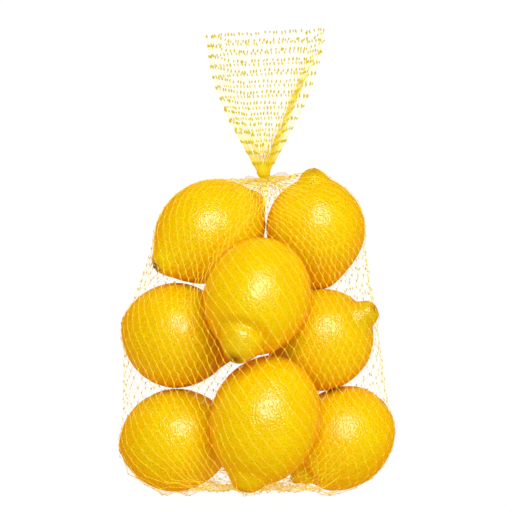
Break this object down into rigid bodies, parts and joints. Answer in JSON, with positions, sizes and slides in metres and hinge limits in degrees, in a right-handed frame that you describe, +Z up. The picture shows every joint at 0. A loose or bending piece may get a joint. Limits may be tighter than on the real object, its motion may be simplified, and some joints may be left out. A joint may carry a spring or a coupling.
{
  "type": "net of lemons",
  "caption": "Tube of yellow diamond netting filled with lemons, gathered to a knot with a fanned tail, lying on its back.",
  "frame": {"origin": "under the middle of the whole object's box, on the surface that the net lies on", "axes": "+Z up, +Y from the fruit towards the knot and the fanned tail, +X to the right with the tail pointing away"},
  "size_m": [0.16, 0.2638, 0.0987],
  "materials": {
    "lemon_peel": "waxy lemon peel, finely pitted, semi-gloss, bright warm yellow",
    "net_plastic": "extruded polyethylene netting, translucent yellow, satin",
    "clear_plastic": "thin clear plastic strip, glossy"
  },
  "bodies": {
    "root": {"net_bag": "lemon_peel", "net_tail": "net_plastic", "neck_knot": "net_plastic", "bottom_knot": "net_plastic", "neck_tie": "clear_plastic"}
  },
  "joints": []
}
